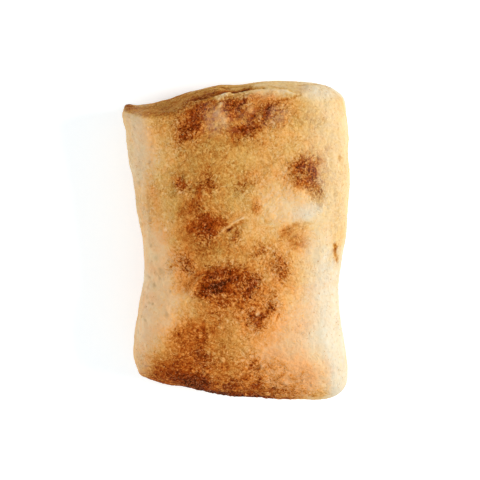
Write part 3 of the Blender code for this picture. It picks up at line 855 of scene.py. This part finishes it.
def spread(tree, value, low, high, to_low=0.0, to_high=1.0, kind="LINEAR"):
    """Takes a value's range from low to high over to another range, and stops at its ends."""
    ends = {0: value, 1: low, 2: high, 3: to_low, 4: to_high}
    return node(tree, "ShaderNodeMapRange", ends, interpolation_type=kind).outputs[0]


def first_of(tree, triple):
    """Gives the first of the three numbers of a colour or a vector."""
    return node(tree, "ShaderNodeSeparateXYZ", {0: triple}).outputs[0]


print("helpers that add nodes are ready")

# %% Tree helpers
def new_tree(name, sizes, materials):
    """Starts a Geometry Nodes tree with named inputs for its sizes and its materials."""
    tree = bpy.data.node_groups.new(name, "GeometryNodeTree")
    tree.interface.new_socket("Geometry", in_out="INPUT", socket_type="NodeSocketGeometry")
    for size, value in sizes.items():
        made = tree.interface.new_socket(size, in_out="INPUT", socket_type="NodeSocketFloat")
        made.default_value = value
    for material in materials:
        tree.interface.new_socket(material, in_out="INPUT", socket_type="NodeSocketMaterial")
    tree.interface.new_socket("Geometry", in_out="OUTPUT", socket_type="NodeSocketGeometry")
    return tree, tree.nodes.new("NodeGroupInput"), tree.nodes.new("NodeGroupOutput")


def grown(obj, tree, values):
    """Runs a tree on an object with the given inputs and gives the result as a plain mesh."""
    growth = obj.modifiers.new(tree.name, "NODES")
    growth.node_group = tree
    for item in tree.interface.items_tree:
        if item.in_out == "INPUT" and item.name in values:
            growth[item.identifier] = values[item.name]
    mesh = as_mesh(obj, obj.name)
    obj.modifiers.clear()
    return mesh


def carried(tree, name):
    """Reads a value that the skin carries."""
    made = node(tree, "GeometryNodeInputNamedAttribute", {"Name": name}, data_type="FLOAT")
    return made.outputs["Attribute"]


def finish_tree(tree, geometry, material, result):
    """Ends a tree: instances become real faces, and they get their material."""
    real = node(tree, "GeometryNodeRealizeInstances", {0: geometry})
    coated = node(tree, "GeometryNodeSetMaterial", {0: real.outputs[0], "Material": material})
    tree.links.new(coated.outputs[0], result.inputs[0])


print("helpers that start, run and end a tree are ready")

# %% Wrinkles
relief_sizes = {"Wrinkle length": 6.0, "Wrinkle height": 0.90, "Blister size": 2.6,
                "Blister height": 1.00, "Grain size": 1.5, "Grain height": 0.75,
                "Pore spacing": 3.9, "Pore depth": 0.45}
relief, given, result = new_tree("crust_relief", relief_sizes, ["Crust"])
position = relief.nodes.new("GeometryNodeInputPosition").outputs[0]
in_mm = node(relief, "ShaderNodeVectorMath", {0: position, "Scale": 1 / MM},
             operation="SCALE").outputs[0]
baked, porous, cracked, loose = (carried(relief, name) for name in
                                 ("browned", "porous", "crackled", "free"))


def per(length):
    """One over a length: the scale of a texture whose bumps are that long."""
    return sums(relief, "DIVIDE", 1.0, given.outputs[length])


wrinkle = node(relief, "ShaderNodeTexNoise", {"Vector": in_mm, "Scale": per("Wrinkle length"),
                                             "Detail": 3.0, "Roughness": 0.55, "Distortion": 0.6})
wrinkle = sums(relief, "SUBTRACT", wrinkle.outputs[0], 0.5)
wrinkle = sums(relief, "MULTIPLY", wrinkle, given.outputs["Wrinkle height"])
wrinkle = sums(relief, "MULTIPLY", wrinkle, 2.0)
print("relief sizes in mm:", relief_sizes)

# %% Blisters and grain
domes = node(relief, "ShaderNodeTexVoronoi", {"Vector": in_mm, "Scale": per("Blister size"),
                                             "Smoothness": 0.5}, feature="SMOOTH_F1")
sparse = node(relief, "ShaderNodeTexNoise", {"Vector": in_mm, "Scale": 0.22, "Detail": 2.0})
sparse = spread(relief, sparse.outputs[0], 0.42, 0.62)
dome = sums(relief, "SUBTRACT", 0.62, domes.outputs["Distance"])
dome = sums(relief, "MULTIPLY", dome, given.outputs["Blister height"])
raised = sums(relief, "MULTIPLY_ADD", baked, 0.7, sums(relief, "MULTIPLY_ADD", cracked, 0.6, 0.05))
raised = sums(relief, "MULTIPLY", raised, sums(relief, "MULTIPLY_ADD", sparse, 0.8, 0.35))
dome = sums(relief, "MULTIPLY", dome, raised)
grain = node(relief, "ShaderNodeTexNoise", {"Vector": in_mm, "Scale": per("Grain size"),
                                           "Detail": 2.0, "Roughness": 0.6})
grain = sums(relief, "SUBTRACT", grain.outputs[0], 0.5)
grain = sums(relief, "MULTIPLY", grain, given.outputs["Grain height"])
grain = sums(relief, "MULTIPLY", grain, sums(relief, "MULTIPLY_ADD", cracked, 0.9, 0.7))
bumpy = sums(relief, "ADD", dome, grain)
print("blisters and grain:", len(relief.nodes), "nodes so far")

# %% Pores and the sum
PORE_CORE, PORE_RIM = 0.08, 0.26  # shares of the pore spacing
CLOSED_SHARE = 0.45

pores = node(relief, "ShaderNodeTexVoronoi", {"Vector": in_mm, "Scale": per("Pore spacing"),
                                             "Randomness": 1.0}, feature="F1")
pit = spread(relief, pores.outputs["Distance"], PORE_CORE, PORE_RIM, 1.0, 0.0, "SMOOTHSTEP")
open_cells = sums(relief, "GREATER_THAN", first_of(relief, pores.outputs["Color"]), CLOSED_SHARE)
pit = sums(relief, "MULTIPLY", pit, open_cells)
pit = sums(relief, "MULTIPLY", pit, porous)
total = sums(relief, "ADD", wrinkle, bumpy)
total = sums(relief, "SUBTRACT", total, sums(relief, "MULTIPLY", pit, given.outputs["Pore depth"]))
total = sums(relief, "MULTIPLY", total, loose)
outward = relief.nodes.new("GeometryNodeInputNormal").outputs[0]
shift = node(relief, "ShaderNodeVectorMath",
             {0: outward, "Scale": sums(relief, "MULTIPLY", total, MM)}, operation="SCALE").outputs[0]
moved = node(relief, "GeometryNodeSetPosition", {"Geometry": given.outputs["Geometry"],
                                                "Offset": shift})
for name, value in (("relief", bumpy), ("pit", pit)):
    moved = node(relief, "GeometryNodeStoreNamedAttribute",
                 {"Geometry": moved.outputs[0], "Name": name, "Value": value},
                 data_type="FLOAT", domain="POINT")
finish_tree(relief, moved.outputs[0], given.outputs["Crust"], result)
print("relief tree:", len(relief.nodes), "nodes")

# %% [markdown]
# ## Colour of the crust
# One value, how far each spot is browned, runs through a ramp from floury cream over gold and amber
# to a dark scorch. Fine noise and small cells push that value up and down from blister to blister,
# which gives the speckled look of a real crust. Flour lies over it as a pale film that is thin on
# the browned parts. A crust is matt, so it hardly reflects.

# %% Crust material
BROWNING = (
    (0.00, (0.835, 0.645, 0.375)),
    (0.15, (0.835, 0.555, 0.220)),
    (0.30, (0.710, 0.400, 0.108)),
    (0.42, (0.580, 0.275, 0.056)),
    (0.54, (0.470, 0.178, 0.026)),
    (0.66, (0.350, 0.098, 0.011)),
    (0.80, (0.240, 0.050, 0.004)),
    (0.92, (0.135, 0.028, 0.002)),
    (1.00, (0.070, 0.018, 0.002)),
)

crust = bpy.data.materials.new("baked_crust")
crust.use_nodes = True
dye = crust.node_tree
skin_shader = dye.nodes["Principled BSDF"]
skin_shader.inputs["Specular IOR Level"].default_value = 0.03
skin_shader.inputs["Specular Tint"].default_value = (1.0, 0.76, 0.58, 1)
spot = node(dye, "ShaderNodeTexCoord").outputs["Object"]
spot_mm = node(dye, "ShaderNodeMapping", {"Vector": spot, "Scale": (1 / MM,) * 3}).outputs[0]


def surface_value(name):
    """Reads a value that the crust carries."""
    return node(dye, "ShaderNodeAttribute", attribute_name=name).outputs["Fac"]


tone, dust, warmth, rough, bumps, holes, single_pores = (surface_value(name) for name in (
    "browned", "flour", "warm", "crackled", "relief", "pit", "spots"))
print("ramp of", len(BROWNING), "shades")

# %% [markdown]
# ## Speckle
# Seen closely, the browning jumps from spot to spot. That comes from several patterns at once: soft
# mottling, short strokes like drying cracks, creases between small swellings, pale crinkles, round
# dots and crumbs. The creases and the relief of the skin also paint shade and light: creases are
# pushed darker, and swellings and raised relief lighter. One value, the swing, says how far they may
# push the browning: little on pale smooth skin, far where it is browned, warm or crackled, and a
# little less inside a scorch.

# %% Pattern helpers
def noise_at(size, detail, roughness, twist=0.0):
    """Noise with bumps of a size in mm, from about -0.5 to 0.5."""
    made = node(dye, "ShaderNodeTexNoise", {"Vector": spot_mm, "Scale": 1 / size, "Detail": detail,
                                           "Roughness": roughness, "Distortion": twist})
    return sums(dye, "SUBTRACT", made.outputs[0], 0.5)


def dots(spacing, reach, share):
    """Round spots at a spacing in mm: a share of the cells has one, with its reach in cells."""
    cells = node(dye, "ShaderNodeTexVoronoi", {"Vector": spot_mm, "Scale": 1 / spacing})
    chosen = sums(dye, "LESS_THAN", first_of(dye, cells.outputs["Color"]), share)
    return sums(dye, "MULTIPLY", spread(dye, cells.outputs["Distance"], reach * 0.5, reach, 1.0, 0.0),
                chosen)


def weighed(start, *patterns):
    """Adds patterns to a start value, each of them times its weight."""
    for pattern, weight in patterns:
        start = sums(dye, "MULTIPLY_ADD", pattern, weight, start)
    return start


print("helpers for noise, dots and sums of patterns are ready")

# %% How far the browning swings
mottle = noise_at(2.4, 5.0, 0.68, 0.3)
cell = node(dye, "ShaderNodeTexVoronoi", {"Vector": spot_mm, "Scale": 0.95, "Randomness": 1.0})
cell_shade = first_of(dye, cell.outputs["Color"])
swing = sums(dye, "MULTIPLY_ADD", tone, 0.65, sums(dye, "MULTIPLY_ADD", warmth, 0.22, 0.16))
swing = sums(dye, "MULTIPLY_ADD", rough, 0.34, swing)
swing = sums(dye, "MULTIPLY", swing, spread(dye, tone, 0.56, 0.82, 1.0, 0.62))
print("swing:", len(dye.nodes), "nodes so far")

# %% Strokes
STROKE_WIDTH, STROKE_LENGTH = 0.66, 1.5
STROKE_BEND = 3.6

bend = node(dye, "ShaderNodeTexNoise", {"Vector": spot_mm, "Scale": 0.40, "Detail": 3.0})
bend = node(dye, "ShaderNodeVectorMath", {0: bend.outputs["Color"], 1: (-0.5,) * 3}).outputs[0]
bent = node(dye, "ShaderNodeVectorMath", {0: bend, 1: (STROKE_BEND,) * 3, 2: spot_mm},
            operation="MULTIPLY_ADD").outputs[0]


def strokes(turn):
    """Short strokes, sized in mm, that run at an angle in degrees and bend a little."""
    turned = node(dye, "ShaderNodeMapping",
                  {"Vector": bent, "Rotation": (0, 0, math.radians(turn)),
                   "Scale": (STROKE_WIDTH, STROKE_LENGTH, STROKE_WIDTH)}, vector_type="TEXTURE")
    made = node(dye, "ShaderNodeTexNoise", {"Vector": turned.outputs[0], "Scale": 1.0,
                                           "Detail": 2.0, "Roughness": 0.65})
    return spread(dye, made.outputs[0], 0.25, 0.75, -0.22, 0.22)


lean = sums(dye, "MULTIPLY_ADD", noise_at(5.5, 1.0, 0.5), 9.0, 0.5, clamp=True)
fine = node(dye, "ShaderNodeMix", {0: lean, 2: strokes(-42), 3: strokes(38)},
            data_type="FLOAT").outputs[0]
fine = sums(dye, "MULTIPLY_ADD", noise_at(1.5, 3.0, 0.75), 0.55, fine)
busy = sums(dye, "MULTIPLY_ADD", noise_at(7.0, 2.0, 0.6), 2.2, 1.0)
fine = sums(dye, "MULTIPLY", fine, sums(dye, "MAXIMUM", busy, 0.35))
print("strokes", STROKE_WIDTH, "by", STROKE_LENGTH, "mm")

# %% Creases, crinkles and crumbs
edge = node(dye, "ShaderNodeTexVoronoi", {"Vector": bent, "Scale": 0.62},
            feature="DISTANCE_TO_EDGE").outputs["Distance"]
crease = spread(dye, edge, 0.0, 0.13, 1.0, 0.0)
swelling = spread(dye, edge, 0.0, 0.40, kind="SMOOTHSTEP")
crinkle = spread(dye, sums(dye, "ABSOLUTE", noise_at(3.2, 2.0, 0.6, 0.9)), 0.0, 0.045, 1.0, 0.0)
here_and_there = sums(dye, "MULTIPLY_ADD", noise_at(2.0, 1.0, 0.5), 3.0, 0.3, clamp=True)
crinkle = sums(dye, "MULTIPLY", crinkle, here_and_there)
crumbs = sums(dye, "MULTIPLY", noise_at(0.9, 2.0, 0.7), sums(dye, "MULTIPLY_ADD", rough, 0.5, 0.1))

# Creases pushed darker and swellings and raised relief lighter: painted shade in the hollows and
# painted light on the tops.
push = weighed(sums(dye, "ADD", crumbs, -0.12),
               (mottle, 0.55), (fine, 1.75), (crease, 0.08), (swelling, -0.06), (cell_shade, 0.16),
               (dots(1.7, 0.30, 0.25), 0.30), (crinkle, -0.18), (bumps, -0.14))
toasted = sums(dye, "ADD", tone, sums(dye, "MULTIPLY", push, swing), clamp=True)
print("speckle:", len(dye.nodes), "nodes so far")

# %% [markdown]
# ## From value to colour
# The pushed value goes through the ramp, and the warm zones are tinted orange. Between the strokes
# light flecks are painted, partly flaking skin and partly painted highlights. Then come the flour
# film, which is patchy, and the pores, which are painted dark as the shade inside them, because
# little light gets out of them.

# %% Ramp and warmth
WARM_TINT = (1.12, 0.735, 0.52, 1)


def mixed(tree, share, first, second, way="MIX"):
    """Blends two colours by a share from 0 to 1."""
    return node(tree, "ShaderNodeMix", {0: share, 6: first, 7: second}, data_type="RGBA",
                blend_type=way).outputs[2]


ramp = node(dye, "ShaderNodeValToRGB", {0: toasted})
stops = ramp.color_ramp.elements
while len(stops) < len(BROWNING):
    stops.new(0.5)
for stop, (where, colour) in zip(stops, BROWNING):
    stop.position, stop.color = where, (*colour, 1)
warmer = sums(dye, "MULTIPLY_ADD", noise_at(4.2, 3.0, 0.6, 0.4), 1.6, warmth)
warmer = sums(dye, "MULTIPLY", warmer, 0.7, clamp=True)
warmed = mixed(dye, warmer, ramp.outputs[0], WARM_TINT, "MULTIPLY")
print("ramp from", stops[0].position, "to", round(stops[len(stops) - 1].position, 2))

# %% Painted highlight flecks, flour film and painted pore shade
FLECK_HIGHLIGHT_COLOUR = (0.78, 0.42, 0.20, 1)
FLOUR_COLOUR = (0.745, 0.675, 0.53, 1)
PORE_SHADE_COLOUR = (0.45, 0.29, 0.12, 1)

# Light flecks between the strokes: partly flaking skin, partly painted highlights.
highlight_flecks = sums(dye, "MULTIPLY", spread(dye, fine, -0.04, -0.18, 0.0, 0.36),
              sums(dye, "MULTIPLY_ADD", rough, 0.7, 0.2))
with_highlight_flecks = mixed(dye, highlight_flecks, warmed, FLECK_HIGHLIGHT_COLOUR)
film = sums(dye, "MULTIPLY_ADD", mottle, 1.6, dust)
film = sums(dye, "MULTIPLY", film, dust, clamp=True)
floured = mixed(dye, film, with_highlight_flecks, FLOUR_COLOUR)
pore_shade = sums(dye, "MULTIPLY_ADD", single_pores, 0.42, sums(dye, "MULTIPLY", holes, 0.5), clamp=True)
dye.links.new(mixed(dye, pore_shade, floured, PORE_SHADE_COLOUR), skin_shader.inputs["Base Color"])
print("colour done:", len(dye.nodes), "nodes so far")

# %% [markdown]
# ## Gloss and the finest bumps
# Scorched skin is a little glossier than pale skin. Relief that is smaller than the skin's cells
# can't be made by moving its points, so strokes, crumbs and crinkles are a bump in the material.

# %% Gloss and fine bumps
gloss = spread(dye, toasted, 0.1, 0.8, 0.9, 0.7)
dye.links.new(gloss, skin_shader.inputs["Roughness"])
fine_domes = sums(dye, "SUBTRACT", 1.0, sums(dye, "POWER", cell.outputs["Distance"], 2.0))
fine_height = weighed(sums(dye, "MULTIPLY", fine_domes, 0.30),
                      (fine, 1.4), (crumbs, -0.4), (crinkle, 0.25), (swelling, 0.15))
fine_height = sums(dye, "MULTIPLY", fine_height, sums(dye, "MULTIPLY_ADD", swing, 0.8, 0.1))
bump = node(dye, "ShaderNodeBump", {"Strength": 1.0, "Distance": 1.0 * MM, "Height": fine_height})
dye.links.new(bump.outputs[0], skin_shader.inputs["Normal"])
print("crust material:", len(dye.nodes), "nodes")

# %% [markdown]
# ## The finished crust
# The tree now runs with its sizes and the material, and leaves a plain mesh. Its points are kept
# within the box of the plain loaf, as the crust stands for that loaf.

# %% Grow the relief
EDGE_GAP = 1e-5
box_low, box_high = np.array(cad_box[0]) + EDGE_GAP, np.array(cad_box[1]) - EDGE_GAP


def keep_in_box(mesh):
    """Moves the points that pass the plain loaf's box back to it."""
    mesh.vertices.foreach_set("co", np.clip(positions_of(mesh), box_low, box_high).ravel())
    mesh.update()


crusty = grown(skin, relief, {**relief_sizes, "Crust": crust})
keep_in_box(crusty)
crusty.shade_smooth()
skin.data = crusty
skin.name = "crust"
print("crust:", len(crusty.polygons), "faces")

# %% [markdown]
# ## Flour on the crust
# Proved dough is dusted so that it doesn't stick, and coarser grains of that flour stay on the baked
# skin, most where it is floury and where blisters caught them. They are about as small as the skin's
# cells, so each is a small body of its own: points are scattered over the skin by its own values,
# and each carries a lump with twenty faces, turned and stretched at random.

# %% Flour material
TOASTED_FLOUR, PALE_FLOUR = (0.56, 0.26, 0.07, 1), (0.78, 0.50, 0.23, 1)

flour_dye = bpy.data.materials.new("coarse_flour")
flour_dye.use_nodes = True
tree = flour_dye.node_tree
body = tree.nodes["Principled BSDF"]
body.inputs["Roughness"].default_value = 0.95
body.inputs["Specular IOR Level"].default_value = 0.03
where = node(tree, "ShaderNodeTexCoord").outputs["Object"]
shade = node(tree, "ShaderNodeTexNoise", {"Vector": where, "Scale": 0.7 / MM, "Detail": 2.0})
shade = spread(tree, shade.outputs[0], 0.35, 0.65)
tree.links.new(mixed(tree, shade, TOASTED_FLOUR, PALE_FLOUR), body.inputs["Base Color"])
print("flour material:", len(tree.nodes), "nodes")

# %% Where grains stay
grain_sizes = {"Grains per square cm": 32.0, "Grain length": 0.52}
SQUARE_CM = 1e4  # in a square metre

dusting, given, result = new_tree("flour_grains", grain_sizes, ["Flour"])
facing_up = node(dusting, "ShaderNodeSeparateXYZ",
                 {0: dusting.nodes.new("GeometryNodeInputNormal").outputs[0]}).outputs[2]
share = sums(dusting, "MULTIPLY_ADD", carried(dusting, "flour"), 0.25, 0.10)
caught = sums(dusting, "MULTIPLY", carried(dusting, "crackled"), 0.8)
bare = spread(dusting, carried(dusting, "browned"), 0.30, 0.60, 1.0, 0.22)
share = sums(dusting, "MULTIPLY", sums(dusting, "ADD", caught, share), bare)
share = sums(dusting, "MULTIPLY", share, spread(dusting, facing_up, -0.1, 0.5))
density = sums(dusting, "MULTIPLY", given.outputs["Grains per square cm"], SQUARE_CM)
points = node(dusting, "GeometryNodeDistributePointsOnFaces",
              {"Mesh": given.outputs["Geometry"], "Density": sums(dusting, "MULTIPLY", share, density),
               "Seed": 11}, distribute_method="RANDOM")
print("grain sizes:", grain_sizes)

# %% Scatter the grains
GRAIN_FACES = 20
HALF_TURN = 3.1
SMALLEST, LARGEST = (0.5, 0.4, 0.3), (1.5, 1.0, 0.7)

half_grain = sums(dusting, "MULTIPLY", given.outputs["Grain length"], MM / 2)
lump = node(dusting, "GeometryNodeMeshIcoSphere", {"Radius": half_grain, "Subdivisions": 1})
turned = node(dusting, "FunctionNodeRandomValue",
              {0: (-HALF_TURN,) * 3, 1: (HALF_TURN,) * 3, "Seed": 3},
              data_type="FLOAT_VECTOR").outputs[0]
stretched = node(dusting, "FunctionNodeRandomValue", {0: SMALLEST, 1: LARGEST, "Seed": 5},
                 data_type="FLOAT_VECTOR").outputs[0]
lumps = node(dusting, "GeometryNodeInstanceOnPoints",
             {"Points": points.outputs["Points"], "Instance": lump.outputs[0],
              "Rotation": turned, "Scale": stretched})
finish_tree(dusting, lumps.outputs[0], given.outputs["Flour"], result)

dust_grains = new_object("flour_grains", crusty.copy())
dust_mesh = grown(dust_grains, dusting, {**grain_sizes, "Flour": flour_dye})
keep_in_box(dust_mesh)
dust_grains.data = dust_mesh
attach(dust_grains, "root")
print("flour:", len(dust_mesh.polygons) // GRAIN_FACES, "grains")

# %% [markdown]
# ## The crust in place of the loaf
# The smooth form was only a helper, so it goes. The crust takes the place of the plain loaf, which
# is hidden.

# %% Crust in place of the loaf
bpy.data.objects.remove(smooth_form)
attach(skin, "root")
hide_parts("ciabatta")
print("the crust stands for", plain_loaf.name)
